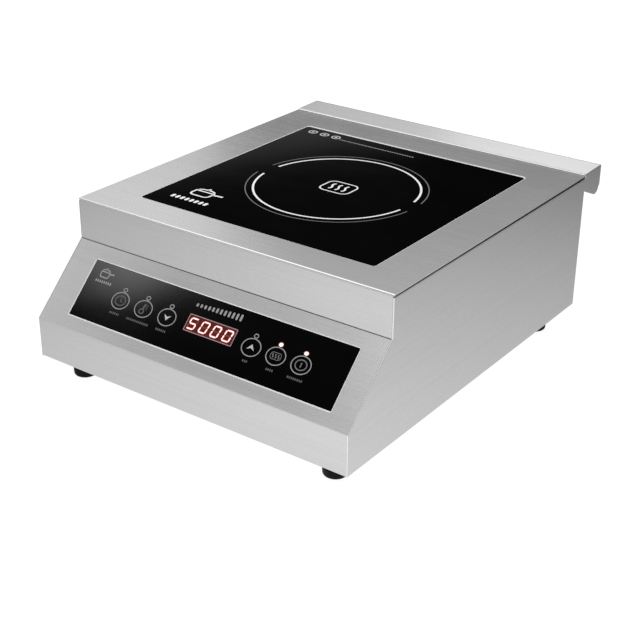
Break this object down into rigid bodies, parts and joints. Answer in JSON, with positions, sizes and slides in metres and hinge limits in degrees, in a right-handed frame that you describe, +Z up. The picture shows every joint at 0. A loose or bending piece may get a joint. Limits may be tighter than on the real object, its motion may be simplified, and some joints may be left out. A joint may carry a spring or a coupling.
{
  "type": "induction hob",
  "caption": "Countertop induction hob: square black glass zone, sloping touch panel with a lit display, steel case, rear hood and feet.",
  "frame": {"origin": "on the surface the hob stands on, under the middle of its bounding box", "axes": "+X is the hob's right seen from the front, -Y points out of the front, +Y to the rear hood, +Z is up"},
  "size_m": [0.4, 0.5, 0.185],
  "materials": {
    "brushed_steel": "fine straight-brushed stainless steel sheet",
    "zinc_steel": "plain zinc-plated steel sheet",
    "cooking_glass": "polished opaque black glass-ceramic",
    "control_glass": "polished opaque black printed glass",
    "silicone": "dark silicone",
    "foot_rubber": "matt black moulded rubber",
    "screw_steel": "bright zinc-plated steel",
    "black_plastic": "black moulded plastic",
    "circuit_board": "green glass-fibre circuit board",
    "display_plastic": "dark red display moulding with lit segments",
    "copper": "enamelled copper wire",
    "fibre_pad": "white ceramic-fibre pad",
    "ferrite": "dark grey ferrite",
    "aluminium": "plain aluminium",
    "sensor_ceramic": "off-white ceramic and plastic",
    "capacitor_film": "blue potted plastic case",
    "cable_grey": "grey ribbon cable insulation",
    "brass": "plain brass"
  },
  "bodies": {
    "casing": {"top_cover": "brushed_steel", "rear_hood": "brushed_steel", "front_panel": "brushed_steel", "side_panel_left": "brushed_steel", "side_panel_right": "brushed_steel", "rear_panel": "brushed_steel", "base_plate": "zinc_steel", "glass_support_frame": "zinc_steel", "glass_plate": "cooking_glass", "control_glass": "control_glass", "glass_seal": "silicone", "control_gasket": "silicone", "foot_front_left": "foot_rubber", "foot_front_right": "foot_rubber", "foot_rear_left": "foot_rubber", "foot_rear_right": "foot_rubber", "foot_screw_front_left": "screw_steel", "foot_screw_front_right": "screw_steel", "foot_screw_rear_left": "screw_steel", "foot_screw_rear_right": "screw_steel", "touch_spring_1": "screw_steel", "touch_spring_2": "screw_steel", "touch_spring_3": "screw_steel", "touch_spring_4": "screw_steel", "touch_spring_5": "screw_steel", "touch_spring_6": "screw_steel", "cable_gland": "black_plastic", "gland_nut": "black_plastic", "coil_tray": "black_plastic", "control_frame": "black_plastic", "terminal_block": "black_plastic", "igbt_1": "black_plastic", "igbt_2": "black_plastic", "bridge_rectifier": "black_plastic", "fan_frame_1": "black_plastic", "fan_frame_2": "black_plastic", "control_board": "circuit_board", "power_board": "circuit_board", "display_module": "display_plastic", "coil_winding": "copper", "choke": "copper", "insulation_pad": "fibre_pad", "ferrite_bar_1": "ferrite", "ferrite_bar_2": "ferrite", "ferrite_bar_3": "ferrite", "ferrite_bar_4": "ferrite", "ferrite_bar_5": "ferrite", "ferrite_bar_6": "ferrite", "coil_plate": "aluminium", "coil_post_1": "aluminium", "coil_post_2": "aluminium", "coil_post_3": "aluminium", "heat_sink": "aluminium", "temperature_sensor": "sensor_ceramic", "dc_capacitor": "capacitor_film", "resonant_capacitor": "capacitor_film", "control_cable": "cable_grey", "earth_stud": "brass"},
    "fan_rotor_1": {"fan_rotor_1": "black_plastic"},
    "fan_rotor_2": {"fan_rotor_2": "black_plastic"}
  },
  "joints": [
    {"name": "fan_1_spin", "type": "hinge", "parent": "casing", "child": "fan_rotor_1", "pos_m": [-0.075, -0.06, 0.0258], "axis": [0, 0, 1], "continuous": true},
    {"name": "fan_2_spin", "type": "hinge", "parent": "casing", "child": "fan_rotor_2", "pos_m": [0.075, -0.06, 0.0258], "axis": [0, 0, 1], "continuous": true}
  ]
}
